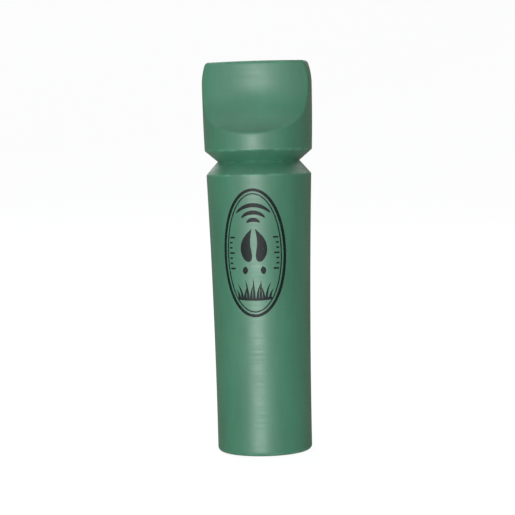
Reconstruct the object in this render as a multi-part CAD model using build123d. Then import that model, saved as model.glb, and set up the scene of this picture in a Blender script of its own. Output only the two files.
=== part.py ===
from build123d import *
import os

# A blown tube call for the field. A barrel with a flared top takes a mouthpiece that pushes in
# on two O-rings. The mouthpiece's bore holds the sound cartridge: a sleeve, a tone board, the
# reed that beats on it, the cork wedge that grips the reed, and the band that tunes it.
#
# Millimetres. The origin is the centre of the barrel's open end, +Z points to the lips, and -Y
# is the front, the side that the scoop and the flat of the tone board face.

# ---- Clearances ----
socket_clearance = 0.05      # radial, spigot in the barrel's socket
sleeve_clearance = 0.03      # radial, cartridge sleeve in the mouthpiece's bore
board_clearance = 0.02       # between the pieces that are clamped in the sleeve
ring_clearance = 0.03        # each side of an O-ring or of the tuning band
seam_gap = 0.10              # axial, between barrel and mouthpiece at the neck
seat_gap = 0.05              # axial, between the sleeve's flange and the spigot's end

# ---- Radial sizes, from the air bore outwards ----
air_bore_radius = 6.6        # bore of the mouthpiece
spigot_wall = 3.6
neck_wall = 1.85             # rim of the barrel's socket, at the bottom of the neck groove
shoulder_step = 3.4          # from the neck out to the barrel's shoulder
collar_step = 3.75           # from the neck out to the mouthpiece's lower edge
collar_swell = 0.35          # from the lower edge out to the mouthpiece's widest place
lips_taper = 1.2             # from the widest place in to the lip end
outlet_radius = 14.0         # outside of the barrel at its open end
outlet_wall = 2.6

# ---- Lengths along the axis ----
barrel_length = 85.8         # open end to the seam
shoulder_rise = 3.8          # height of the barrel's cone into the neck groove
outlet_land = 14.0           # straight bore above the open end
mouthpiece_length = 29.1     # seam to lips, without the spigot
collar_rise = 3.2            # height of the mouthpiece's cone out of the neck groove
spigot_length = 20.0
cartridge_room = 4.0         # straight socket left below the spigot
widest_below_lips = 6.5
slot_depth = 11.0            # mouth slot, from the lip end down to the air bore

# ---- Broad faces of the mouthpiece ----
blade_thickness = 16.8       # front to back at the middle of the lip end
blade_face_radius = 30.0     # roundness of each broad face, seen from above
scoop_radius = 17.0          # sweep from the face out to the collar, seen from the side
collar_band = 4.8            # full round of the collar left under the middle of each scoop
form_overrun = 1.0           # how far the forms that cut the faces run past the piece
slot_width = 19.0
slot_height = 7.5            # at the lips
slot_throat = 7.0            # height of the slot where it meets the air bore

# ---- Rounded and broken edges ----
outlet_round = 1.3
outlet_inner_round = 0.6
shoulder_round = 0.4
collar_round = 0.4
crease_round = 0.8
lip_round = 1.0
slot_round = 0.8
lead_in = 0.6                # chamfer on the spigot's end and in the socket's mouth

# ---- O-rings: round cord, squeezed into its groove ----
spigot_cord = 1.78
spigot_groove_depth = 1.42   # socket wall to groove floor
spigot_groove_width = 2.5
spigot_groove_height = (14.4, 6.0)   # groove centres above the spigot's end: upper, lower
sleeve_cord = 1.0
sleeve_groove_depth = 0.82   # air bore wall to groove floor
sleeve_groove_width = 1.5
sleeve_groove_height = 6.0   # above the spigot's end

# ---- Sound cartridge ----
sleeve_length = 12.0         # inside the air bore
sleeve_wall = 1.97
flange_reach = 2.0           # radial, past the air bore
flange_thickness = 2.0
board_stub = 0.6             # of the tone board, below the flange
board_tip_room = 3.0         # between the board's tip and the end of the air bore
table_offset = 0.6           # flat of the board, in front of the axis
channel_land = 1.8           # table left on each side of the tone channel, under the reed
channel_floor = 2.0          # board left behind the channel
channel_end = 3.5            # solid tip past the channel
tip_corner = 3.2
tip_opening = 1.0            # how far the facing has curved away from the reed at the tip
reed_thickness = 0.36
reed_reveal = 0.74           # table showing on each side of the reed
reed_setback = 1.5           # from the board's tip to the reed's tip
reed_tail = 1.0              # from the board's lower end to the reed's
sleeve_edge = 0.4            # chamfers on the sleeve's flange and nose
wedge_length = 13.0
wedge_nose = 1.5             # chamfer on the wedge's leading edge
band_cord = 1.1
band_corner = 0.9
band_drop = 2.0              # travel of the band towards the sleeve
band_climb = 3.0             # travel towards the reed's tip
band_margin = 0.3            # left past each end of that travel

# ---- Radii that follow ----
spigot_radius = air_bore_radius + spigot_wall
socket_radius = spigot_radius + socket_clearance
neck_radius = socket_radius + neck_wall
shoulder_radius = neck_radius + shoulder_step
collar_radius = neck_radius + collar_step
widest_radius = collar_radius + collar_swell
lips_radius = widest_radius - lips_taper
outlet_bore = outlet_radius - outlet_wall
spigot_groove_floor = socket_radius - spigot_groove_depth
sleeve_radius = air_bore_radius - sleeve_clearance
sleeve_bore = sleeve_radius - sleeve_wall
sleeve_groove_floor = air_bore_radius - sleeve_groove_depth
flange_radius = air_bore_radius + flange_reach
board_radius = sleeve_bore - board_clearance

# ---- Heights that follow ----
neck_face = barrel_length + seam_gap
shoulder_height = barrel_length - shoulder_rise
socket_floor = barrel_length - spigot_length - cartridge_room
collar_height = neck_face + collar_rise
lips_height = neck_face + mouthpiece_length
widest_height = lips_height - widest_below_lips
air_bore_end = lips_height - slot_depth
scoop_reach = widest_radius - blade_thickness / 2
scoop_rise = (scoop_radius**2 - (scoop_radius - scoop_reach) ** 2) ** 0.5
scoop_height = collar_height + collar_band + scoop_rise
spigot_end = neck_face - spigot_length
sleeve_top = spigot_end + sleeve_length
flange_top = spigot_end - seat_gap
board_end = flange_top - flange_thickness - board_stub
board_tip = air_bore_end - board_tip_room
band_height = sleeve_top + band_margin + band_drop + band_cord / 2
facing_start = band_height + band_climb + band_cord / 2 + band_margin
reed_end = board_end + reed_tail
reed_tip = board_tip - reed_setback

# ---- Places across the board, measured forward of the axis ----
table_half_width = (board_radius**2 - table_offset**2) ** 0.5
reed_half_width = table_half_width - reed_reveal
reed_back = table_offset + board_clearance
reed_front = reed_back + reed_thickness


def turned(outline, rounds=()):
    """Solid turned about the Z axis from a closed outline of (radius, height).

    Each of the rounds is a corner of the outline and the radius that it is rounded to.
    """
    face = make_face(outline)
    for corner, radius in rounds:
        face = fillet(face.vertices().sort_by_distance(corner)[0], radius)
    return revolve(Plane.XZ * face, Axis.Z)


def ring_groove(height, floor_radius, width):
    """Cutter for an O-ring groove, centred at a height."""
    return Pos(0, 0, height) * (Cylinder(2 * floor_radius, width) - Cylinder(floor_radius, width))


def squeezed_ring(height, floor_radius, wall_radius, cord):
    """O-ring between a groove's floor and the wall outside it.

    The cord keeps its area, so the flatter it is squeezed the wider it gets.
    """
    depth = wall_radius - floor_radius - 2 * ring_clearance
    section = Ellipse(depth / 2, cord**2 / (2 * depth))
    return Pos(0, 0, height) * revolve(
        Plane.XZ * Pos((wall_radius + floor_radius) / 2, 0) * section, Axis.Z
    )


def make_barrel():
    """Sound chamber: one long curve outside, straight socket, taper and outlet inside."""
    outside = TangentArc(
        (outlet_radius, 0), (shoulder_radius, shoulder_height), tangent=(0, 1)
    )
    inside = Polyline(
        (shoulder_radius, shoulder_height),
        (neck_radius, barrel_length),
        (socket_radius + lead_in, barrel_length),
        (socket_radius, barrel_length - lead_in),
        (socket_radius, socket_floor),
        (outlet_bore, outlet_land),
        (outlet_bore, 0),
        (outlet_radius, 0),
    )
    rounds = (
        ((outlet_radius, 0), outlet_round),
        ((outlet_bore, 0), outlet_inner_round),
        ((shoulder_radius, shoulder_height), shoulder_round),
    )
    return turned(outside + inside, rounds)


def broad_face_form():
    """Round form whose side is one broad face: upright at the lips, then swept outwards."""
    reach = blade_face_radius + scoop_radius
    low = spigot_end - form_overrun
    high = lips_height + form_overrun
    outline = (
        Polyline((0, low), (reach, low), (reach, scoop_height - scoop_radius))
        + CenterArc((reach, scoop_height), scoop_radius, 180, 90)
        + Polyline((blade_face_radius, scoop_height), (blade_face_radius, high), (0, high), (0, low))
    )
    return turned(outline)


def mouth_slot():
    """Slot for the breath, widening from the air bore to the lips."""
    throat = Pos(0, 0, air_bore_end) * SlotOverall(2 * air_bore_radius, slot_throat)
    mouth = Pos(0, 0, lips_height) * SlotOverall(slot_width, slot_height)
    return loft([throat, mouth])


def make_mouthpiece():
    """Round collar on a spigot, cut to a thick blade for the lips by two broad faces.

    Where a broad face meets the round side is a crease; the two are the only freely curved edges.
    """
    collar_side = TangentArc(
        (widest_radius, widest_height), (collar_radius, collar_height), tangent=(0, -1)
    )
    lip_side = TangentArc(
        (widest_radius, widest_height), (lips_radius, lips_height), tangent=(0, 1)
    )
    spigot_side = Polyline(
        (lips_radius, lips_height),
        (0, lips_height),
        (0, spigot_end),
        (spigot_radius - lead_in, spigot_end),
        (spigot_radius, spigot_end + lead_in),
        (spigot_radius, neck_face),
        (neck_radius, neck_face),
        (collar_radius, collar_height),
    )
    rounds = (((collar_radius, collar_height), collar_round),)
    body = turned(collar_side + lip_side + spigot_side, rounds)
    form_offset = blade_face_radius - blade_thickness / 2
    for side in (1, -1):
        body &= Pos(0, side * form_offset, 0) * broad_face_form()
    body = fillet(body.edges().filter_by(GeomType.BSPLINE), crease_round)
    body = fillet(body.edges().group_by(Axis.Z)[-1], lip_round)

    bore_length = air_bore_end - spigot_end
    body -= Pos(0, 0, spigot_end + bore_length / 2) * Cylinder(air_bore_radius, bore_length)
    body -= mouth_slot()
    lip_face = body.faces().sort_by(Axis.Z)[-1]
    body = fillet(lip_face.inner_wires()[0].edges(), slot_round)
    for height in spigot_groove_height:
        body -= ring_groove(spigot_end + height, spigot_groove_floor, spigot_groove_width)
    return body


def make_spigot_ring(height):
    return squeezed_ring(spigot_end + height, spigot_groove_floor, socket_radius, spigot_cord)


def make_sleeve_ring():
    height = spigot_end + sleeve_groove_height
    return squeezed_ring(height, sleeve_groove_floor, air_bore_radius, sleeve_cord)


def make_reed_sleeve():
    """Flanged stopper that seals the air bore and clamps board, reed and wedge together."""
    flange_bottom = flange_top - flange_thickness
    sleeve = turned(
        Polyline(
            (sleeve_bore, flange_bottom),
            (flange_radius - sleeve_edge, flange_bottom),
            (flange_radius, flange_bottom + sleeve_edge),
            (flange_radius, flange_top),
            (sleeve_radius, flange_top),
            (sleeve_radius, sleeve_top - sleeve_edge),
            (sleeve_radius - sleeve_edge, sleeve_top),
            (sleeve_bore, sleeve_top),
            (sleeve_bore, flange_bottom),
        )
    )
    height = spigot_end + sleeve_groove_height
    return sleeve - ring_groove(height, sleeve_groove_floor, sleeve_groove_width)


def make_tone_board():
    """D-shaped board with a tone channel; its flat curves away under the reed's tip."""
    length = board_tip - board_end
    rod = Pos(0, 0, board_end + length / 2) * Cylinder(board_radius, length)
    side_view = (
        TangentArc(
            (-table_offset, facing_start), (tip_opening - table_offset, board_tip), tangent=(0, 1)
        )
        + Polyline(
            (tip_opening - table_offset, board_tip),
            (board_radius, board_tip),
            (board_radius, board_end),
            (-table_offset, board_end),
            (-table_offset, facing_start),
        )
    )
    rod &= extrude(Plane.YZ * make_face(side_view), board_radius, both=True)
    front_view = Pos(0, board_end + length / 2) * Rectangle(2 * board_radius, length)
    front_view = fillet(front_view.vertices().group_by(Axis.Y)[-1], tip_corner)
    rod &= extrude(Plane.XZ * front_view, board_radius, both=True)

    channel_radius = reed_half_width - channel_land
    channel_length = length - channel_end
    channel_axis = board_radius - channel_floor - channel_radius
    open_depth = channel_axis + 2 * board_radius
    section = Pos(0, channel_axis) * Circle(channel_radius)
    section += Pos(0, channel_axis - open_depth / 2) * Rectangle(2 * channel_radius, open_depth)
    return rod - Pos(0, 0, board_end) * extrude(section, channel_length)


def make_reed():
    """Flat strip over the table, with a rounded tip."""
    length = reed_tip - reed_end
    outline = Pos(0, reed_end + length / 2) * Rectangle(2 * reed_half_width, length)
    outline = fillet(outline.vertices().group_by(Axis.Y)[-1], tip_corner - reed_reveal)
    return extrude(Plane.XZ.offset(reed_back) * outline, reed_thickness)


def make_reed_wedge():
    """Cork segment between the reed's front and the sleeve's bore."""
    front = reed_front + board_clearance
    section = Circle(board_radius) - Pos(0, board_radius - front) * Rectangle(
        2 * board_radius, 2 * board_radius
    )
    wedge = Pos(0, 0, board_end + board_stub) * extrude(section, wedge_length)
    nose = wedge.edges().group_by(Axis.Z)[-1].filter_by(GeomType.CIRCLE)
    return chamfer(nose, wedge_nose)


def make_tuning_band():
    """Small rubber band stretched round the board's back and across the reed."""
    reach = ring_clearance + band_cord / 2
    back = Circle(board_radius + reach)
    front = reed_front + reach
    loop = back & Pos(0, board_radius) * Rectangle(4 * board_radius, 2 * (board_radius + front))
    loop = fillet(loop.vertices(), band_corner)
    path = loop.faces()[0].outer_wire()
    start = path @ 0
    section = Plane(origin=start, z_dir=path % 0) * Circle(band_cord / 2)
    return Pos(0, 0, band_height) * sweep(section, path=path)


pieces = {
    "barrel": make_barrel(),
    "mouthpiece": make_mouthpiece(),
    "spigot_ring_upper": make_spigot_ring(spigot_groove_height[0]),
    "spigot_ring_lower": make_spigot_ring(spigot_groove_height[1]),
    "reed_sleeve": make_reed_sleeve(),
    "sleeve_ring": make_sleeve_ring(),
    "tone_board": make_tone_board(),
    "reed": make_reed(),
    "reed_wedge": make_reed_wedge(),
    "tuning_band": make_tuning_band(),
}

os.makedirs("parts", exist_ok=True)
for name, piece in pieces.items():
    export_step(piece, f"parts/{name}.step")
    print(f"{name}: {piece.volume:.1f} mm3, valid {piece.is_valid}")
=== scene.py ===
# %% [markdown]
# # A tube call, dressed for its portrait
#
# The CAD model gives this script a barrel, a mouthpiece and the small cartridge that makes the
# sound, each in its true place and at its true size. What it doesn't give is how they look. Here
# each finish is worked out from what the real material is, the turned barrel is drawn again by
# Geometry Nodes, and the ink on it is laid round its curve.

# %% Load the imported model
import bpy
import bmesh
import math
from mathutils import Matrix, Vector, noise


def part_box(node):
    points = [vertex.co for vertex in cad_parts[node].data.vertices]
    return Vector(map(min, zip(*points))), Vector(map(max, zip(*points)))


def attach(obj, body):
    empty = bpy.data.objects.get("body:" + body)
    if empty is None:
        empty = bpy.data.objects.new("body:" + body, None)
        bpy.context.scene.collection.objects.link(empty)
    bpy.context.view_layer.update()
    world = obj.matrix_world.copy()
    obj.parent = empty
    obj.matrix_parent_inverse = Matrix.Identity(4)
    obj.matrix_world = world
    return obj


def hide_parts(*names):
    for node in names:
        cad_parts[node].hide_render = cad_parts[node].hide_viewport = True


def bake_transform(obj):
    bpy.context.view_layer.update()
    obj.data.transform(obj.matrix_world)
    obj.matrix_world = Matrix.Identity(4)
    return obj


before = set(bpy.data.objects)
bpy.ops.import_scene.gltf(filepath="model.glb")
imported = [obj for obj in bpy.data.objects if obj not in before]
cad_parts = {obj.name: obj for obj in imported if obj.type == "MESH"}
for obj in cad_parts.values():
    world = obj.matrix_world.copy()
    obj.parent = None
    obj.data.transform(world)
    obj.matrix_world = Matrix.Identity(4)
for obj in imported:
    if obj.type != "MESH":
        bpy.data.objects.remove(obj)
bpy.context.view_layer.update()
mm = 0.001

# %% [markdown]
# ## Reading sizes from the model
#
# A piece that covers or follows a CAD part has to agree with it to a hundredth of a millimetre.
# So its sizes are read from the model's own meshes: a small function gives the largest or the
# smallest radius of a part near a height, and everything round is drawn from such readings.

# %% Radii and heights of the turned parts


def radius_at(node, height, outermost=True, band=0.05 * mm):
    """Radius of a turned CAD part where its mesh has points near a height."""
    points = [v.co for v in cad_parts[node].data.vertices if abs(v.co.z - height) < band]
    radii = [math.hypot(p.x, p.y) for p in points]
    return max(radii) if outermost else min(radii)


barrel_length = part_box("barrel")[1].z
lip_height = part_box("mouthpiece")[1].z
outlet_round = 1.3 * mm
bore_round = 0.6 * mm
shoulder_round = 0.4 * mm
lead_in = 0.6 * mm
outlet_radius = radius_at("barrel", outlet_round)
bore_radius = radius_at("barrel", bore_round, outermost=False)
neck_radius = radius_at("barrel", barrel_length)
socket_radius = radius_at("barrel", barrel_length, outermost=False) - lead_in
shoulder_radius = neck_radius + 3.4 * mm
shoulder_height = barrel_length - 3.8 * mm
socket_floor = 61.8 * mm
outlet_land = 14.0 * mm
print("barrel length, outlet, bore, neck and socket radius, mm:")
print([round(v / mm, 2) for v in (barrel_length, outlet_radius, bore_radius, neck_radius, socket_radius)])

# %% [markdown]
# ## One helper for every node tree
#
# Shaders and Geometry Nodes are both graphs: a node has settings, and its inputs hold either a
# value or a link. So one small function that adds a node with its settings and its inputs is
# enough for all of them, and a tree then reads as a list of steps.

# %% Adding nodes, and colours


def add(tree, kind, links=(), **settings):
    """Adds a node; links is pairs of an input's name or number and a value or another socket."""
    node = tree.nodes.new(kind)
    for name, value in settings.items():
        setattr(node, name, value)
    for socket, source in links:
        if isinstance(source, bpy.types.NodeSocket):
            tree.links.new(source, node.inputs[socket])
        else:
            node.inputs[socket].default_value = source
    return node


def linear(code):
    """An sRGB hex colour as the linear RGBA that shaders use."""
    channels = [int(code[i:i + 2], 16) / 255 for i in (1, 3, 5)]
    steps = [c / 12.92 if c <= 0.04045 else ((c + 0.055) / 1.055) ** 2.4 for c in channels]
    return (*steps, 1.0)


def start_material(name, **sockets):
    """A material whose shader has the given constants; returns it, its tree and its shader."""
    material = bpy.data.materials.new(name)
    material.use_nodes = True
    tree = material.node_tree
    shader = tree.nodes["Principled BSDF"]
    for socket, value in sockets.items():
        shader.inputs[socket.replace("_", " ")].default_value = value
    return material, tree, shader


print("sRGB mid grey in linear:", round(linear("#808080")[0], 3))

# %% [markdown]
# ## The body's plastic
#
# The barrel and the mouthpiece of such a call are injection moulded from ABS, coloured right
# through, in a steel mould that was spark eroded. The eroded steel leaves a fine even grain, so
# the plastic shows a wide soft highlight instead of a mirror's. A real grain is about 0.1 mm
# across, which is too fine to show here, so it is drawn at 0.3 mm. The pigment is never mixed
# quite evenly: it clouds over about 8 mm and streaks upwards, the way the plastic flowed. The
# mould was turned on a lathe first, so faint marks under a millimetre apart still go round the
# call and break its highlight up sideways. Every edge and the seam get a pale band, partly wear
# from rubbing in a pocket and partly painted light where the edges and the seam catch the light.

# %% Moulded ABS

# The pale third colour and the heights below it paint bands at the edges and the seam: partly wear, partly
# painted light where they catch the light.
abs_green = {"thin": "#2f6650", "deep": "#285a46", "rubbed_and_lit": "#508a72"}
collar_edge = barrel_length + 3.3 * mm
worn_and_lit_edges = (0.6 * mm, shoulder_height, barrel_length, collar_edge, lip_height - 0.4 * mm)


def moulded_abs():
    """Satin green ABS with flow clouds, mould grain, and pale edge bands of wear and painted light."""
    material, tree, shader = start_material("abs_moulded_green", IOR=1.54)
    where = add(tree, "ShaderNodeTexCoord").outputs["Object"]
    stretched = add(tree, "ShaderNodeMapping", [("Vector", where), ("Scale", (1, 1, 0.25))])
    cloud = add(tree, "ShaderNodeTexNoise", [
        ("Vector", stretched.outputs[0]), ("Scale", 1 / (8 * mm)), ("Detail", 4), ("Roughness", 0.6)])
    cloud_spread = add(tree, "ShaderNodeMapRange", [
        ("Value", cloud.outputs["Fac"]), ("From Min", 0.3), ("From Max", 0.7)])
    pigment = add(tree, "ShaderNodeMix", [
        (0, cloud_spread.outputs[0]), (6, linear(abs_green["deep"])), (7, linear(abs_green["thin"]))],
        data_type="RGBA")

    # Wear and painted light: a pale band at each edge's height, broken up by a patchy noise.
    height = add(tree, "ShaderNodeSeparateXYZ", [(0, where)]).outputs["Z"]
    rub_and_light = None
    for edge in worn_and_lit_edges:
        away = add(tree, "ShaderNodeMath", [(0, height), (1, edge)], operation="SUBTRACT")
        away = add(tree, "ShaderNodeMath", [(0, away.outputs[0])], operation="ABSOLUTE")
        near = add(tree, "ShaderNodeMapRange", [
            ("Value", away.outputs[0]), ("From Max", 0.55 * mm), ("To Min", 1), ("To Max", 0)])
        pair = [(0, near.outputs[0]), (1, rub_and_light.outputs[0] if rub_and_light else 0.0)]
        rub_and_light = add(tree, "ShaderNodeMath", pair, operation="MAXIMUM")
    patches = add(tree, "ShaderNodeTexNoise", [("Vector", where), ("Scale", 1 / (2.5 * mm)), ("Detail", 5)])
    patchy = add(tree, "ShaderNodeMapRange", [
        ("Value", patches.outputs["Fac"]), ("From Min", 0.35), ("From Max", 0.75), ("To Max", 0.6)])
    worn_and_lit = add(tree, "ShaderNodeMath", [(0, rub_and_light.outputs[0]), (1, patchy.outputs[0])], operation="MULTIPLY")
    # Painted light and wear: the pale colour goes where the edge bands and the patches meet.
    colour = add(tree, "ShaderNodeMix", [
        (0, worn_and_lit.outputs[0]), (6, pigment.outputs[2]), (7, linear(abs_green["rubbed_and_lit"]))],
        data_type="RGBA")
    tree.links.new(colour.outputs[2], shader.inputs["Base Color"])

    # Gloss: hands polish the plastic unevenly, in patches of about a fingertip.
    hands = add(tree, "ShaderNodeTexNoise", [("Vector", where), ("Scale", 1 / (14 * mm)), ("Detail", 6)])
    gloss = add(tree, "ShaderNodeMapRange", [
        ("Value", hands.outputs["Fac"]), ("From Min", 0.35), ("From Max", 0.65),
        ("To Min", 0.45), ("To Max", 0.51)])
    flat = add(tree, "ShaderNodeMapping", [("Vector", where), ("Scale", (0.06, 0.06, 1))])
    turning = add(tree, "ShaderNodeTexNoise", [
        ("Vector", flat.outputs[0]), ("Scale", 1 / (0.8 * mm)), ("Detail", 4)])
    marks = add(tree, "ShaderNodeMapRange", [
        ("Value", turning.outputs["Fac"]), ("From Min", 0.3), ("From Max", 0.7),
        ("To Min", -0.05), ("To Max", 0.05)])
    satin = add(tree, "ShaderNodeMath", [(0, gloss.outputs[0]), (1, marks.outputs[0])])
    tree.links.new(satin.outputs[0], shader.inputs["Roughness"])

    grain = add(tree, "ShaderNodeTexNoise", [
        ("Vector", where), ("Scale", 1 / (0.3 * mm)), ("Detail", 3), ("Roughness", 0.7)])
    bump = add(tree, "ShaderNodeBump", [
        ("Height", grain.outputs["Fac"]), ("Strength", 0.25), ("Distance", 0.02 * mm)])
    tree.links.new(bump.outputs[0], shader.inputs["Normal"])
    return material


body_abs = moulded_abs()
print(body_abs.name, "has", len(body_abs.node_tree.nodes), "nodes")

# %% [markdown]
# ## The barrel
#
# The barrel is a solid of revolution: one closed outline turned about the call's axis. A lathe
# made of Geometry Nodes suits it, because every ring of its mesh then follows from a few sizes.
# The tree places the outline's eight corners, rounds three of them, adds rings wherever a run is
# long so that light slides along it evenly, gives the outer side its slow flare, and sweeps the
# outline round a circle. The sweep lays the outline upside down, so half a turn stands it up.

# %% The lathe's tree

barrel_sizes = {
    "Outlet radius": outlet_radius, "Bore radius": bore_radius, "Neck radius": neck_radius,
    "Socket radius": socket_radius, "Shoulder radius": shoulder_radius, "Length": barrel_length,
    "Shoulder height": shoulder_height, "Socket floor": socket_floor, "Land height": outlet_land,
    "Lead in": lead_in, "Outlet round": outlet_round, "Bore round": bore_round,
    "Shoulder round": shoulder_round, "Ring spacing": 1.0 * mm, "Smooth below": math.radians(25),
}


def start_geometry_tree(name, sizes):
    """A geometry tree with a float input for each size; returns it and its input sockets."""
    tree = bpy.data.node_groups.new(name, "GeometryNodeTree")
    tree.interface.new_socket("Geometry", in_out="INPUT", socket_type="NodeSocketGeometry")
    for size in sizes:
        tree.interface.new_socket(size, in_out="INPUT", socket_type="NodeSocketFloat")
    tree.interface.new_socket("Geometry", in_out="OUTPUT", socket_type="NodeSocketGeometry")
    return tree, tree.nodes.new("NodeGroupInput").outputs


def finish_geometry_tree(tree, mesh, material):
    """Ends a tree with real geometry that has its material."""
    real = add(tree, "GeometryNodeRealizeInstances", [(0, mesh)])
    painted = add(tree, "GeometryNodeSetMaterial", [("Geometry", real.outputs[0]), ("Material", material)])
    add(tree, "NodeGroupOutput", [(0, painted.outputs[0])])


def lathe_tree(material, around=160, arc_points=6):
    """The turned shell: corners, rounds, extra rings, flare, then one turn about the axis."""
    tree, size = start_geometry_tree("turned_barrel", barrel_sizes)
    socket_mouth = add(tree, "ShaderNodeMath", [(0, size["Socket radius"]), (1, size["Lead in"])])
    socket_top = add(tree, "ShaderNodeMath", [(0, size["Length"]), (1, size["Lead in"])],
                     operation="SUBTRACT")
    corners = (
        (size["Outlet radius"], 0.0, size["Outlet round"]),
        (size["Shoulder radius"], size["Shoulder height"], size["Shoulder round"]),
        (size["Neck radius"], size["Length"], 0.0),
        (socket_mouth.outputs[0], size["Length"], 0.0),
        (size["Socket radius"], socket_top.outputs[0], 0.0),
        (size["Socket radius"], size["Socket floor"], 0.0),
        (size["Bore radius"], size["Land height"], 0.0),
        (size["Bore radius"], 0.0, size["Bore round"]),
    )
    index = add(tree, "GeometryNodeInputIndex").outputs[0]
    place = add(tree, "GeometryNodeIndexSwitch", [(0, index)], data_type="VECTOR")
    rounding = add(tree, "GeometryNodeIndexSwitch", [(0, index)], data_type="FLOAT")
    for i, (radius, height, corner_round) in enumerate(corners):
        if i > 1:
            place.index_switch_items.new()
            rounding.index_switch_items.new()
        point = add(tree, "ShaderNodeCombineXYZ", [(0, radius), (1, height)])
        tree.links.new(point.outputs[0], place.inputs[1 + i])
        if isinstance(corner_round, bpy.types.NodeSocket):
            tree.links.new(corner_round, rounding.inputs[1 + i])
    dots = add(tree, "GeometryNodeMeshLine", [("Count", len(corners))])
    dots = add(tree, "GeometryNodeSetPosition", [
        ("Geometry", dots.outputs[0]), ("Position", place.outputs[0])])
    outline = add(tree, "GeometryNodeMeshToCurve", [("Mesh", dots.outputs[0])])
    outline = add(tree, "GeometryNodeSetSplineCyclic", [("Geometry", outline.outputs[0]), ("Cyclic", True)])
    outline = add(tree, "GeometryNodeFilletCurve", [
        ("Curve", outline.outputs[0]), ("Count", arc_points), ("Radius", rounding.outputs[0])],
        mode="POLY")

    # Extra rings: as many cuts in a run as ring spacings fit into it.
    here = add(tree, "GeometryNodeInputPosition").outputs[0]
    following = add(tree, "GeometryNodeOffsetPointInCurve", [("Point Index", index), ("Offset", 1)])
    there = add(tree, "GeometryNodeFieldAtIndex", [
        ("Index", following.outputs["Point Index"])], data_type="FLOAT_VECTOR", domain="POINT")
    tree.links.new(here, there.inputs["Value"])
    run = add(tree, "ShaderNodeVectorMath", [(0, here), (1, there.outputs[0])], operation="DISTANCE")
    fits = add(tree, "ShaderNodeMath", [(0, run.outputs["Value"]), (1, size["Ring spacing"])],
               operation="DIVIDE")
    cuts = add(tree, "FunctionNodeFloatToInt", [(0, fits.outputs[0])], rounding_mode="FLOOR")
    outline = add(tree, "GeometryNodeSubdivideCurve", [
        ("Curve", outline.outputs[0]), ("Cuts", cuts.outputs[0])])

    # Flare: the straight outer side bows inwards by flare * t * (1 - t), upright at the outlet.
    xyz = add(tree, "ShaderNodeSeparateXYZ", [(0, here)])
    flare = add(tree, "ShaderNodeMath", [(0, size["Outlet radius"]), (1, size["Shoulder radius"])],
                operation="SUBTRACT")
    t = add(tree, "ShaderNodeMath", [(0, xyz.outputs[1]), (1, size["Shoulder height"])],
            operation="DIVIDE", use_clamp=True)
    rest = add(tree, "ShaderNodeMath", [(0, 1.0), (1, t.outputs[0])], operation="SUBTRACT")
    bow = add(tree, "ShaderNodeMath", [(0, t.outputs[0]), (1, rest.outputs[0])], operation="MULTIPLY")
    bow = add(tree, "ShaderNodeMath", [(0, bow.outputs[0]), (1, flare.outputs[0])], operation="MULTIPLY")
    both = add(tree, "ShaderNodeMath", [(0, size["Outlet radius"]), (1, size["Bore radius"])])
    wall_middle = add(tree, "ShaderNodeMath", [(0, both.outputs[0]), (1, 0.5)], operation="MULTIPLY")
    outside = add(tree, "FunctionNodeCompare", [(0, xyz.outputs[0]), (1, wall_middle.outputs[0])],
                  data_type="FLOAT", operation="GREATER_THAN")
    shift = add(tree, "ShaderNodeCombineXYZ", [(0, bow.outputs[0])])
    outline = add(tree, "GeometryNodeSetPosition", [
        ("Geometry", outline.outputs[0]), ("Selection", outside.outputs[0]), ("Offset", shift.outputs[0])])

    # Turn: the outline is moved to the path's own radius, then swept round it.
    inwards = add(tree, "ShaderNodeMath", [(0, size["Bore radius"]), (1, -1.0)], operation="MULTIPLY")
    to_path = add(tree, "ShaderNodeCombineXYZ", [(0, inwards.outputs[0])])
    outline = add(tree, "GeometryNodeSetPosition", [
        ("Geometry", outline.outputs[0]), ("Offset", to_path.outputs[0])])
    circle = add(tree, "GeometryNodeCurvePrimitiveCircle", [
        ("Resolution", around), ("Radius", size["Bore radius"])], mode="RADIUS")
    path = add(tree, "GeometryNodeSetCurveNormal", [("Curve", circle.outputs[0])], mode="Z_UP")
    shell = add(tree, "GeometryNodeCurveToMesh", [
        ("Curve", path.outputs[0]), ("Profile Curve", outline.outputs[0])])
    shell = add(tree, "GeometryNodeTransform", [
        ("Geometry", shell.outputs[0]), ("Rotation", (math.pi, 0, 0))])
    smooth = add(tree, "GeometryNodeSetShadeSmooth", [
        ("Geometry", shell.outputs[0]), ("Shade Smooth", True)], domain="FACE")
    bend = add(tree, "GeometryNodeInputMeshEdgeAngle")
    sharp = add(tree, "FunctionNodeCompare", [
        (0, bend.outputs["Unsigned Angle"]), (1, size["Smooth below"])],
        data_type="FLOAT", operation="GREATER_THAN")
    edges = add(tree, "GeometryNodeSetShadeSmooth", [
        ("Geometry", smooth.outputs[0]), ("Selection", sharp.outputs[0]), ("Shade Smooth", False)],
        domain="EDGE")
    finish_geometry_tree(tree, edges.outputs[0], material)
    return tree


print("barrel sizes, mm:", {k: round(v / mm, 2) for k, v in barrel_sizes.items() if k != "Smooth below"})

# %% [markdown]
# ## Running a tree once
#
# A Geometry Nodes modifier is live: it is worked out again at every change. These pieces are
# finished, so the tree runs once and the result is kept as a plain mesh. The sizes go into the
# modifier by the sockets' identifiers, before the first evaluation.

# %% From a tree to a plain mesh


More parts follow.
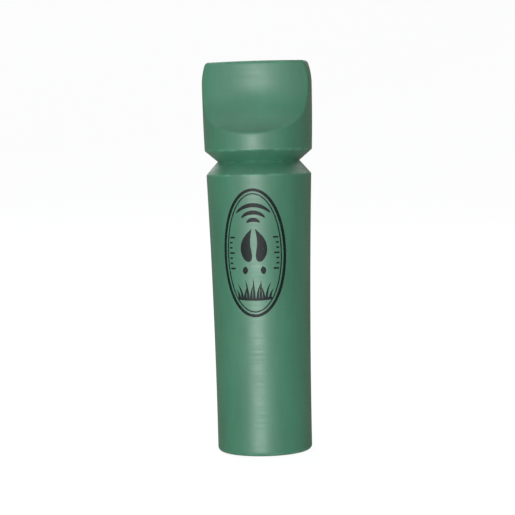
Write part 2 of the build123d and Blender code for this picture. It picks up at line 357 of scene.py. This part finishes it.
def run_tree(name, tree, sizes, base=None):
    """Runs a geometry tree on a mesh, or on an empty one, and returns an object with the result."""
    carrier = bpy.data.objects.new(name, base or bpy.data.meshes.new(name + "_base"))
    bpy.context.scene.collection.objects.link(carrier)
    modifier = carrier.modifiers.new("shape", "NODES")
    modifier.node_group = tree
    for item in tree.interface.items_tree:
        if item.in_out == "INPUT" and item.name in sizes:
            modifier[item.identifier] = sizes[item.name]
    bpy.context.view_layer.update()
    evaluated = carrier.evaluated_get(bpy.context.evaluated_depsgraph_get())
    mesh = bpy.data.meshes.new_from_object(evaluated)
    mesh.name = name
    carrier.modifiers.remove(modifier)
    carrier.data = mesh
    return carrier


def describe(piece):
    """Prints a mesh's size, and whether it is closed and faces outwards."""
    mesh = bmesh.new()
    mesh.from_mesh(piece.data)
    open_edges = sum(1 for e in mesh.edges if len(e.link_faces) != 2)
    volume = mesh.calc_volume(signed=True) / mm**3
    low = [round(min(v.co[i] for v in mesh.verts) / mm, 2) for i in range(3)]
    high = [round(max(v.co[i] for v in mesh.verts) / mm, 2) for i in range(3)]
    print(piece.name, "faces", len(mesh.faces), "open edges", open_edges,
          "volume mm3", round(volume, 1), "box", low, high)
    mesh.free()


# The CAD leaves 0.1 mm at the seam; most of it is closed, so that only a hairline shows.
barrel_sizes["Length"] = barrel_length + 0.07 * mm
barrel_shell = run_tree("barrel_shell", lathe_tree(body_abs), barrel_sizes)
describe(barrel_shell)
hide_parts("barrel")
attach(barrel_shell, "barrel")
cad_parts["mouthpiece"].material_slots[0].material = body_abs

# %% [markdown]
# ## The printed badge
#
# The front of the barrel carries a badge in one dark ink. Such badges are pad printed: a soft pad
# picks the ink up from an etched plate and rolls it onto the curve, so the picture keeps its
# width along the surface. The same is done here. The badge is drawn flat, as strokes with a line
# and a width, and a small tree of Geometry Nodes rolls it round the flare. The ink is a real
# layer, only thicker than ink is, because 0.01 mm would be lost in the barrel's facets. The
# picture is the call's own story: a deer's track, the sound going up, and grass.

# %% Strokes of ink, drawn flat


def stroke(mesh, line, half_widths, across=4):
    """Adds a closed slab along a line of (x, z) points; its top is at y = -1, its bottom at y = 0."""
    closed = (Vector(line[0]) - Vector(line[-1])).length < 1e-9
    points = [Vector(p) for p in (line[:-1] if closed else line)]
    count = len(points)
    rows = []
    for k, point in enumerate(points):
        before = points[k - 1] if closed or k > 0 else point
        after = points[(k + 1) % count] if closed or k < count - 1 else point
        along = (after - before).normalized()
        side = Vector((along.y, -along.x))
        row = []
        for layer in (0, -1):
            for j in range(across + 1):
                spot = point + side * half_widths[k] * (2 * j / across - 1)
                row.append(mesh.verts.new((spot.x, layer, spot.y)))
        rows.append(row)
    wide = across + 1
    loop = list(range(wide)) + list(range(2 * wide - 1, wide - 1, -1))
    for k in range(count if closed else count - 1):
        low, high = rows[k], rows[(k + 1) % count]
        for a, b in zip(loop, loop[1:] + loop[:1]):
            mesh.faces.new((low[a], low[b], high[b], high[a]))
    if not closed:
        for row in (rows[0], rows[-1]):
            for j in range(across):
                mesh.faces.new((row[j], row[j + 1], row[wide + j + 1], row[wide + j]))


def ellipse(half_width, half_height, start=0, end=360, steps=120, centre=(0, 0)):
    """Points on an ellipse, from one angle to another, counted from the right upwards."""
    turns = [math.radians(start + (end - start) * k / steps) for k in range(steps + 1)]
    points = [(centre[0] + half_width * math.cos(t), centre[1] + half_height * math.sin(t)) for t in turns]
    if end - start == 360:
        points[-1] = points[0]
    return points


def drop(fullest, steps):
    """Half widths of a drop: a point at the start, fullest past the middle, round at the end."""
    widths = []
    for k in range(steps + 1):
        t = k / steps
        widths.append(max(0.02 * mm, fullest * 2.3 * t * math.sqrt(1 - t)))
    return widths


badge_middle = 59.5 * mm
badge_half_width = 9.65 * mm
badge_half_height = 18.65 * mm
rim_line = 0.85 * mm


def draw_badge():
    """The flat badge: two rims, sound arcs, a deer's track, ticks and grass."""
    mesh = bmesh.new()
    rim = ellipse(badge_half_width - rim_line / 2, badge_half_height - rim_line / 2)
    stroke(mesh, rim, [rim_line / 2] * len(rim), across=2)
    inner = ellipse(badge_half_width - 1.55 * mm, badge_half_height - 1.55 * mm)
    stroke(mesh, inner, [0.17 * mm] * len(inner), across=1)

    # Sound: three arcs above the track.
    for radius in (2.6, 4.7, 6.8):
        arc = ellipse(radius * mm, radius * mm, 42, 138, 24, centre=(0, 7.0 * mm))
        thick = [max(0.04, 0.6 * math.sin(math.pi * k / 24) ** 0.5) * mm for k in range(25)]
        stroke(mesh, arc, thick)

    # The track: a toe and a dew claw on each side, and ticks like a scale beside them.
    for side in (-1, 1):
        hoof = []
        for k in range(25):
            t = k / 24
            bulge = math.sin(math.pi * t) * 1.5
            hoof.append((side * (0.5 + 0.75 * t + bulge) * mm, (7.0 - 9.6 * t) * mm))
        stroke(mesh, hoof, drop(1.75 * mm, steps=24), across=6)
        claw = [(side * (2.5 + 0.3 * k / 18) * mm, (-3.9 - 2.3 * k / 18) * mm) for k in range(19)]
        stroke(mesh, claw, [max(0.02, 0.8 * math.sin(math.pi * k / 18)**0.7) * mm for k in range(19)])
        for step in range(-3, 4):
            height = step * 1.5 * mm
            reach = (1.6 if step % 3 == 0 else 0.9) * mm
            edge = 7.5 * mm * math.sqrt(1 - (height / badge_half_height) ** 2)
            tick = [(side * (edge - reach * k / 4), height) for k in range(5)]
            stroke(mesh, tick, [0.24 * mm] * 5, across=1)

    # Grass: each blade's root, lean and height in mm.
    for root, lean, tall in (
        (-4.6, -1.0, 2.6), (-3.7, -1.5, 4.2), (-2.9, 0.6, 3.2), (-2.0, -0.7, 5.2), (-1.1, 0.5, 3.6),
        (-0.2, -0.3, 5.8), (0.8, 0.9, 4.2), (1.7, 0.2, 5.3), (2.6, -0.6, 3.3), (3.4, 1.3, 4.6),
        (4.4, 1.1, 2.8),
    ):
        blade = [((root + lean * (k / 12) ** 2) * mm, (-13.2 + tall * k / 12) * mm) for k in range(13)]
        stroke(mesh, blade, [max(0.02, 0.42 * (1 - k / 12) ** 0.7) * mm for k in range(13)], across=2)
    ground = ellipse(9.6 * mm, 2.2 * mm, 238, 302, 20, centre=(0, -11.3 * mm))
    stroke(mesh, ground, [0.34 * mm] * len(ground), across=2)

    bmesh.ops.translate(mesh, verts=mesh.verts, vec=(0, 0, badge_middle))
    bmesh.ops.recalc_face_normals(mesh, faces=mesh.faces)
    flat = bpy.data.meshes.new("badge_flat")
    mesh.to_mesh(flat)
    print("badge strokes have", len(mesh.faces), "faces")
    mesh.free()
    return flat


# %% [markdown]
# ## The ink
#
# Pad printing ink dries to a thin matt film, a little duller than the moulded plastic under
# it. It is blue black rather than black, and where the pad lifted early it is thin: there the
# body's green shows through in pinholes of about 0.2 mm.

# %% Pad printed ink


def pad_printed_ink():
    """Blue black ink with thin spots."""
    material, tree, shader = start_material(
        "ink_pad_printed", IOR=1.45, Roughness=0.5, Specular_IOR_Level=0.2)
    where = add(tree, "ShaderNodeTexCoord").outputs["Object"]
    film = add(tree, "ShaderNodeTexNoise", [("Vector", where), ("Scale", 1 / (0.5 * mm)), ("Detail", 4)])
    thin = add(tree, "ShaderNodeMapRange", [
        ("Value", film.outputs["Fac"]), ("From Min", 0.6), ("From Max", 0.8), ("To Max", 0.35)])
    colour = add(tree, "ShaderNodeMix", [
        (0, thin.outputs[0]), (6, linear("#030d10")), (7, linear(abs_green["deep"]))], data_type="RGBA")
    tree.links.new(colour.outputs[2], shader.inputs["Base Color"])
    bump = add(tree, "ShaderNodeBump", [
        ("Height", film.outputs["Fac"]), ("Strength", 0.2), ("Distance", 0.02 * mm)])
    tree.links.new(bump.outputs[0], shader.inputs["Normal"])
    return material


badge_ink = pad_printed_ink()
print(badge_ink.name, "has", len(badge_ink.node_tree.nodes), "nodes")

# %% Rolling the badge onto the flare

ink_sizes = {
    "Outlet radius": outlet_radius, "Flare": shoulder_radius - outlet_radius,
    "Shoulder height": shoulder_height, "Ink thickness": 0.03 * mm, "Ink root": 0.03 * mm,
}


def roll_on_tree(material):
    """Rolls flat ink round the barrel: x becomes an arc, and y becomes height above the surface."""
    tree, size = start_geometry_tree("badge_rolled_on", ink_sizes)
    here = add(tree, "GeometryNodeInputPosition").outputs[0]
    xyz = add(tree, "ShaderNodeSeparateXYZ", [(0, here)])
    t = add(tree, "ShaderNodeMath", [(0, xyz.outputs[2]), (1, size["Shoulder height"])], operation="DIVIDE")
    square = add(tree, "ShaderNodeMath", [(0, t.outputs[0]), (1, t.outputs[0])], operation="MULTIPLY")
    surface = add(tree, "ShaderNodeMath", [
        (0, square.outputs[0]), (1, size["Flare"]), (2, size["Outlet radius"])], operation="MULTIPLY_ADD")
    angle = add(tree, "ShaderNodeMath", [(0, xyz.outputs[0]), (1, surface.outputs[0])], operation="DIVIDE")
    film = add(tree, "ShaderNodeMath", [(0, size["Ink thickness"]), (1, size["Ink root"])])
    top = add(tree, "ShaderNodeMath", [(0, xyz.outputs[1]), (1, film.outputs[0])], operation="MULTIPLY")
    radius = add(tree, "ShaderNodeMath", [(0, surface.outputs[0]), (1, size["Ink root"])],
                 operation="SUBTRACT")
    radius = add(tree, "ShaderNodeMath", [(0, radius.outputs[0]), (1, top.outputs[0])],
                 operation="SUBTRACT")
    sine = add(tree, "ShaderNodeMath", [(0, angle.outputs[0])], operation="SINE")
    cosine = add(tree, "ShaderNodeMath", [(0, angle.outputs[0])], operation="COSINE")
    right = add(tree, "ShaderNodeMath", [(0, radius.outputs[0]), (1, sine.outputs[0])], operation="MULTIPLY")
    back = add(tree, "ShaderNodeMath", [(0, radius.outputs[0]), (1, cosine.outputs[0])],
               operation="MULTIPLY")
    front = add(tree, "ShaderNodeMath", [(0, back.outputs[0]), (1, -1.0)], operation="MULTIPLY")
    rolled = add(tree, "ShaderNodeCombineXYZ", [
        (0, right.outputs[0]), (1, front.outputs[0]), (2, xyz.outputs[2])])
    badge = add(tree, "GeometryNodeSetPosition", [("Position", rolled.outputs[0])])
    tree.links.new(tree.nodes["Group Input"].outputs["Geometry"], badge.inputs["Geometry"])
    finish_geometry_tree(tree, badge.outputs[0], material)
    return tree


badge = run_tree("printed_badge", roll_on_tree(badge_ink), ink_sizes, draw_badge())
describe(badge)
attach(badge, "barrel")

# %% [markdown]
# ## Rubber
#
# The O-rings are nitrile rubber, pressed in a polished mould and then greased, so they are nearly
# black with a soft sheen that comes and goes. The tuning band is natural rubber, cut from a
# tube: duller, brick red, with the dusty bloom that such rubber sweats out.

# %% Nitrile rings and the natural rubber band


def nitrile_rubber():
    """Black moulded rubber under a smear of grease."""
    material, tree, shader = start_material("nitrile_moulded_greased", IOR=1.52)
    where = add(tree, "ShaderNodeTexCoord").outputs["Object"]
    shader.inputs["Base Color"].default_value = linear("#19191a")
    grease = add(tree, "ShaderNodeTexNoise", [("Vector", where), ("Scale", 1 / (3 * mm)), ("Detail", 4)])
    sheen = add(tree, "ShaderNodeMapRange", [
        ("Value", grease.outputs["Fac"]), ("From Min", 0.35), ("From Max", 0.65),
        ("To Min", 0.28), ("To Max", 0.5)])
    tree.links.new(sheen.outputs[0], shader.inputs["Roughness"])
    bump = add(tree, "ShaderNodeBump", [
        ("Height", grease.outputs["Fac"]), ("Strength", 0.2), ("Distance", 0.05 * mm)])
    tree.links.new(bump.outputs[0], shader.inputs["Normal"])
    return material


def natural_rubber():
    """Brick red band with a pale bloom."""
    material, tree, shader = start_material("natural_rubber_cut", IOR=1.52, Roughness=0.62)
    where = add(tree, "ShaderNodeTexCoord").outputs["Object"]
    dust = add(tree, "ShaderNodeTexNoise", [
        ("Vector", where), ("Scale", 1 / (0.8 * mm)), ("Detail", 6), ("Roughness", 0.65)])
    bloom = add(tree, "ShaderNodeMapRange", [
        ("Value", dust.outputs["Fac"]), ("From Min", 0.45), ("From Max", 0.75), ("To Max", 0.5)])
    colour = add(tree, "ShaderNodeMix", [
        (0, bloom.outputs[0]), (6, linear("#8e3226")), (7, linear("#b8806f"))], data_type="RGBA")
    tree.links.new(colour.outputs[2], shader.inputs["Base Color"])
    bump = add(tree, "ShaderNodeBump", [
        ("Height", dust.outputs["Fac"]), ("Strength", 0.4), ("Distance", 0.05 * mm)])
    tree.links.new(bump.outputs[0], shader.inputs["Normal"])
    return material


def dress(node, material):
    """Gives a CAD node its finish; its shape stays the CAD's."""
    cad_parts[node].material_slots[0].material = material
    print(node, "is now", material.name)


nitrile = nitrile_rubber()
for ring in ("spigot_ring_upper", "spigot_ring_lower", "sleeve_ring"):
    dress(ring, nitrile)
dress("tuning_band", natural_rubber())

# %% [markdown]
# ## The sleeve and the tone board
#
# The sleeve is turned from black acetal rod. The tool leaves a fine screw thread of marks, about
# 0.05 mm apart, drawn at 0.25 mm so that they show as rings of light. The tone board is moulded
# from unpigmented ABS, which is ivory and lets a little light in, and it yellows in clouds.

# %% Turned acetal and ivory ABS


def turned_acetal():
    """Black acetal with tool marks round its axis."""
    material, tree, shader = start_material("acetal_turned_black", IOR=1.48, Roughness=0.34)
    where = add(tree, "ShaderNodeTexCoord").outputs["Object"]
    shader.inputs["Base Color"].default_value = linear("#1f2022")
    # A wave's bands are 1 / (20 * scale / (2 * pi)) apart, so the scale follows from the spacing.
    marks = add(tree, "ShaderNodeTexWave", [
        ("Vector", where), ("Scale", 2 * math.pi / (20 * 0.25 * mm)), ("Distortion", 0.4)],
        bands_direction="Z")
    bump = add(tree, "ShaderNodeBump", [
        ("Height", marks.outputs["Fac"]), ("Strength", 0.35), ("Distance", 0.01 * mm)])
    tree.links.new(bump.outputs[0], shader.inputs["Normal"])
    return material


def ivory_abs():
    """Unpigmented ABS: ivory, slightly translucent."""
    material, tree, shader = start_material(
        "abs_moulded_ivory", IOR=1.54, Roughness=0.38, Subsurface_Weight=0.15, Subsurface_Scale=0.5 * mm)
    where = add(tree, "ShaderNodeTexCoord").outputs["Object"]
    age = add(tree, "ShaderNodeTexNoise", [("Vector", where), ("Scale", 1 / (5 * mm)), ("Detail", 5)])
    spread = add(tree, "ShaderNodeMapRange", [
        ("Value", age.outputs["Fac"]), ("From Min", 0.35), ("From Max", 0.7)])
    colour = add(tree, "ShaderNodeMix", [
        (0, spread.outputs[0]), (6, linear("#cfc8b6")), (7, linear("#c2b795"))], data_type="RGBA")
    tree.links.new(colour.outputs[2], shader.inputs["Base Color"])
    grain = add(tree, "ShaderNodeTexNoise", [("Vector", where), ("Scale", 1 / (0.3 * mm)), ("Detail", 3)])
    bump = add(tree, "ShaderNodeBump", [
        ("Height", grain.outputs["Fac"]), ("Strength", 0.15), ("Distance", 0.02 * mm)])
    tree.links.new(bump.outputs[0], shader.inputs["Normal"])
    return material


dress("reed_sleeve", turned_acetal())
dress("tone_board", ivory_abs())

# %% [markdown]
# ## The reed
#
# The reed is a strip punched from polyester film, clear amber, clamped at one end and free over
# the board's curved facing. When air pulls it, it bends and doesn't turn about a pin. Here it is
# drawn again with many rows, as one stroke with a rounded tip, in place of the CAD reed.

# %% Polyester film


def polyester_film():
    """Clear amber film, glossy, lapped with fine lines along its length."""
    material, tree, shader = start_material("polyester_film_lapped", IOR=1.64, Transmission_Weight=0.35)
    where = add(tree, "ShaderNodeTexCoord").outputs["Object"]
    shader.inputs["Base Color"].default_value = linear("#dccfa0")
    along = add(tree, "ShaderNodeMapping", [("Vector", where), ("Scale", (1, 1, 0.03))])
    lines = add(tree, "ShaderNodeTexNoise", [
        ("Vector", along.outputs[0]), ("Scale", 1 / (0.15 * mm)), ("Detail", 4)])
    gloss = add(tree, "ShaderNodeMapRange", [
        ("Value", lines.outputs["Fac"]), ("From Min", 0.3), ("From Max", 0.7),
        ("To Min", 0.16), ("To Max", 0.24)])
    tree.links.new(gloss.outputs[0], shader.inputs["Roughness"])
    bump = add(tree, "ShaderNodeBump", [
        ("Height", lines.outputs["Fac"]), ("Strength", 0.06), ("Distance", 0.01 * mm)])
    tree.links.new(bump.outputs[0], shader.inputs["Normal"])
    return material


amber_film = polyester_film()
print(amber_film.name, "has", len(amber_film.node_tree.nodes), "nodes")

# %% The strip

reed_low, reed_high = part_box("reed")
reed_tip_corner = 2.46 * mm


def make_reed_strip(rows=140, tip_rows=24):
    """The reed as a slab with a rounded tip, in the CAD reed's own box."""
    half = reed_high.x
    shoulder = reed_high.z - reed_tip_corner
    heights = [reed_low.z + (shoulder - reed_low.z) * k / rows for k in range(rows)]
    widths = [half] * rows
    for k in range(tip_rows + 1):
        turn = math.pi / 2 * k / tip_rows
        heights.append(shoulder + reed_tip_corner * math.sin(turn))
        widths.append(half - reed_tip_corner * (1 - math.cos(turn)))
    mesh = bmesh.new()
    stroke(mesh, [(0.0, z) for z in heights], widths, across=16)
    for vert in mesh.verts:
        vert.co.y = reed_high.y + vert.co.y * (reed_high.y - reed_low.y)
    bmesh.ops.recalc_face_normals(mesh, faces=mesh.faces)
    data = bpy.data.meshes.new("reed_strip")
    mesh.to_mesh(data)
    mesh.free()
    data.materials.append(amber_film)
    strip = bpy.data.objects.new("reed_strip", data)
    bpy.context.scene.collection.objects.link(strip)
    return strip


reed_strip = make_reed_strip()
describe(reed_strip)
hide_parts("reed")
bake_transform(reed_strip)

# %% [markdown]
# ## The cork wedge
#
# The wedge is cut from agglomerated cork: granules of 0.5 to 2 mm pressed together with a little
# glue. Each granule has its own tone, from honey to brown, and a ragged outline where it was torn
# in the mill, so a noise pushes the cells' borders about. The seams between them are dark, and
# the cut face is pitted where a granule tore out. The pits are real dents: the CAD solid's copy
# is given an even mesh, and its points sink by up to 0.12 mm where a noise is strongest.

# %% Agglomerated cork


def agglomerated_cork():
    """Granules of several browns with dark seams."""
    material, tree, shader = start_material("cork_agglomerated_cut", IOR=1.4, Roughness=0.86)
    where = add(tree, "ShaderNodeTexCoord").outputs["Object"]
    wander = add(tree, "ShaderNodeTexNoise", [("Vector", where), ("Scale", 1 / (0.5 * mm)), ("Detail", 3)])
    offset = add(tree, "ShaderNodeVectorMath", [(0, wander.outputs["Color"]), (1, (0.5, 0.5, 0.5))],
                 operation="SUBTRACT")
    offset = add(tree, "ShaderNodeVectorMath", [(0, offset.outputs[0]), ("Scale", 0.9 * mm)],
                 operation="SCALE")
    torn = add(tree, "ShaderNodeVectorMath", [(0, where), (1, offset.outputs[0])]).outputs[0]
    granules = add(tree, "ShaderNodeTexVoronoi", [("Vector", torn), ("Scale", 1 / (1.1 * mm))])
    tone = add(tree, "ShaderNodeSeparateColor", [(0, granules.outputs["Color"])])
    colour = add(tree, "ShaderNodeMix", [
        (0, tone.outputs[0]), (6, linear("#8a5a34")), (7, linear("#c59a68"))], data_type="RGBA")
    seams = add(tree, "ShaderNodeTexVoronoi", [("Vector", torn), ("Scale", 1 / (1.1 * mm))],
                feature="DISTANCE_TO_EDGE")
    near = add(tree, "ShaderNodeMapRange", [
        ("Value", seams.outputs["Distance"]), ("From Max", 0.12), ("To Min", 0.45), ("To Max", 0.0)])
    speckle = add(tree, "ShaderNodeTexNoise", [("Vector", where), ("Scale", 1 / (0.25 * mm)), ("Detail", 4)])
    fleck = add(tree, "ShaderNodeMapRange", [
        ("Value", speckle.outputs["Fac"]), ("From Min", 0.58), ("From Max", 0.72), ("To Max", 0.7)])
    dark = add(tree, "ShaderNodeMath", [(0, near.outputs[0]), (1, fleck.outputs[0])], operation="MAXIMUM")
    shade = add(tree, "ShaderNodeMix", [
        (0, dark.outputs[0]), (6, colour.outputs[2]), (7, linear("#3f2614"))], data_type="RGBA")
    tree.links.new(shade.outputs[2], shader.inputs["Base Color"])
    bump = add(tree, "ShaderNodeBump", [
        ("Height", dark.outputs[0]), ("Strength", 0.6), ("Distance", 0.08 * mm)], invert=True)
    tree.links.new(bump.outputs[0], shader.inputs["Normal"])
    return material


pressed_cork = agglomerated_cork()
print(pressed_cork.name, "has", len(pressed_cork.node_tree.nodes), "nodes")

# %% The pitted wedge


def make_cork(voxel=0.16 * mm, inset=0.04 * mm, pit=0.12 * mm, granule=1.1 * mm):
    """The CAD wedge with an even mesh, a hair smaller, and torn pits in its faces."""
    copy = bmesh.new()
    copy.from_mesh(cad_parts["reed_wedge"].data)
    bmesh.ops.remove_doubles(copy, verts=copy.verts, dist=0.001 * mm)
    data = bpy.data.meshes.new("cork_wedge")
    copy.to_mesh(data)
    copy.free()
    cork = bpy.data.objects.new("cork_wedge", data)
    bpy.context.scene.collection.objects.link(cork)
    remesh = cork.modifiers.new("even", "REMESH")
    remesh.mode = "VOXEL"
    remesh.voxel_size = voxel
    bpy.context.view_layer.update()
    even = bpy.data.meshes.new_from_object(cork.evaluated_get(bpy.context.evaluated_depsgraph_get()))
    cork.modifiers.remove(remesh)
    places = [(v.co.copy(), v.normal.copy()) for v in even.vertices]
    for vert, (place, normal) in zip(even.vertices, places):
        torn = max(0.0, noise.noise(place / granule) - 0.1) * 2
        fine = 0.5 + 0.5 * noise.noise(place / (0.3 * granule))
        vert.co = place - normal * (inset + pit * min(1.0, torn * (0.6 + 0.8 * fine)))
    even.shade_smooth()
    even.materials.clear()
    even.materials.append(pressed_cork)
    cork.data = even
    return cork


cork_wedge = make_cork()
describe(cork_wedge)
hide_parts("reed_wedge")
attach(cork_wedge, "cartridge")

# %% [markdown]
# ## Floor, light and camera
#
# A studio cove is a floor that curves up into a wall, so that no horizon line shows. This one is
# turned all the way round, because the call is looked at from every side. The camera is a long
# lens at about half a metre, a little above the middle of the call and turned slightly clockwise.

# %% Cove


def cove_paper():
    """Matt background paper, lit evenly from behind, and clear when seen from its back."""
    material, tree, shader = start_material(
        "cove_paper", Roughness=0.9, Specular_IOR_Level=0.2, Emission_Strength=0.9)
    shader.inputs["Base Color"].default_value = linear("#5c6064")
    shader.inputs["Emission Color"].default_value = linear("#ffffff")
    behind = add(tree, "ShaderNodeNewGeometry").outputs["Backfacing"]
    clear = add(tree, "ShaderNodeBsdfTransparent")
    sided = add(tree, "ShaderNodeMixShader", [(0, behind), (1, shader.outputs[0]), (2, clear.outputs[0])])
    tree.links.new(sided.outputs[0], tree.nodes["Material Output"].inputs["Surface"])
    return material


def make_cove(floor_radius=1.5, sweep=0.6, wall=1.6, around=96, steps=16):
    """A round floor that sweeps up into a wall; it sends no light or shadow onto the call."""
    floor = -0.05 * mm   # just under the barrel's rim, so that the two never flicker
    outline = [(0.0, floor), (floor_radius, floor)]
    for i in range(1, steps + 1):
        turn = math.pi / 2 * i / steps
        outline.append((floor_radius + sweep * math.sin(turn), floor + sweep * (1 - math.cos(turn))))
    outline.append((floor_radius + sweep, wall))
    rings = outline[1:]
    points = [(0, 0, floor)]
    for radius, height in rings:
        for i in range(around):
            turn = 2 * math.pi * i / around
            points.append((radius * math.cos(turn), radius * math.sin(turn), height))
    faces = [(0, 1 + i, 1 + (i + 1) % around) for i in range(around)]
    for ring in range(len(rings) - 1):
        low = 1 + ring * around
        for i in range(around):
            j = (i + 1) % around
            faces.append((low + i, low + around + i, low + around + j, low + j))
    mesh = bpy.data.meshes.new("cove")
    mesh.from_pydata(points, [], faces)
    mesh.shade_smooth()
    mesh.materials.append(cove_paper())
    cove = bpy.data.objects.new("cove", mesh)
    bpy.context.scene.collection.objects.link(cove)
    cove.visible_diffuse = False
    cove.visible_glossy = False
    cove.visible_shadow = False
    return cove


cove = make_cove()
print("cove faces:", len(cove.data.polygons))

# %% [markdown]
# ## The lights
#
# Satin plastic is drawn by its highlight. A tall narrow box close to the front makes the bright
# stripe down the middle, two weak boxes at the sides keep the flanks from going black, and the one
# above lights the lips. Two stand high behind, where they show the back but hardly touch the front.
# The last one lies under the floor and stands for what white paper sends back up.

# %% Lights


def soft_box(name, place, aim, width, height, power):
    """Rectangular area light that faces a point."""
    light = bpy.data.lights.new(name, "AREA")
    light.shape = "RECTANGLE"
    light.size, light.size_y, light.energy = width, height, power
    lamp = bpy.data.objects.new(name, light)
    lamp.location = place
    lamp.rotation_euler = (Vector(aim) - Vector(place)).to_track_quat("-Z", "Y").to_euler()
    lamp.visible_camera = False
    bpy.context.scene.collection.objects.link(lamp)
    return lamp


middle = (0, 0, barrel_length * 0.7)
lamps = {
    "front_strip": ((-0.07, -1.1, -0.04), 0.38, 0.52, 12.6),
    "left_front": ((-0.9, -0.9, 0.4), 0.7, 0.9, 3.1),
    "right_front": ((0.75, -1.0, 0.4), 0.7, 0.9, 2.5),
    "top": ((-0.2, -0.3, 1.4), 1.2, 1.2, 5.6),
    "back_left": ((-0.6, 1.1, 0.9), 0.4, 0.9, 6.4),
    "back_right": ((0.7, 0.9, 1.0), 0.7, 0.7, 4.0),
    "floor_bounce": ((0.0, -0.45, -0.6), 0.9, 0.9, 1.6),
}
for name, (place, width, height, power) in lamps.items():
    soft_box(name, place, middle, width, height, power)
print(len(lamps), "lamps of", round(sum(lamp[3] for lamp in lamps.values()), 1), "watts in all")
world = bpy.data.worlds.new("room")
world.use_nodes = True
world.node_tree.nodes["Background"].inputs["Color"].default_value = linear("#fff6ea")
world.node_tree.nodes["Background"].inputs["Strength"].default_value = 0.40
bpy.context.scene.world = world
bpy.context.scene.view_settings.view_transform = "Standard"

# %% Camera


def make_camera(azimuth, distance, height, pitch, yaw, roll, lens):
    """Camera at an azimuth and distance from the call's axis; angles are in degrees."""
    turn = math.radians(azimuth)
    place = Vector((distance * math.sin(turn), -distance * math.cos(turn), height))
    data = bpy.data.cameras.new("camera")
    data.lens = lens
    data.clip_start = 0.01
    camera = bpy.data.objects.new("camera", data)
    look = (
        Matrix.Rotation(math.radians(azimuth + yaw), 4, "Z")
        @ Matrix.Rotation(math.radians(90 - pitch), 4, "X")
        @ Matrix.Rotation(math.radians(roll), 4, "Z")
    )
    camera.matrix_world = Matrix.Translation(place) @ look
    bpy.context.scene.collection.objects.link(camera)
    bpy.context.scene.camera = camera
    return camera


camera = make_camera(
    azimuth=7.7, distance=0.517, height=0.0889, pitch=3.5, yaw=0.11, roll=-1.36, lens=122.05)
print("camera at, m:", [round(c, 3) for c in camera.location], "lens, mm:", camera.data.lens)
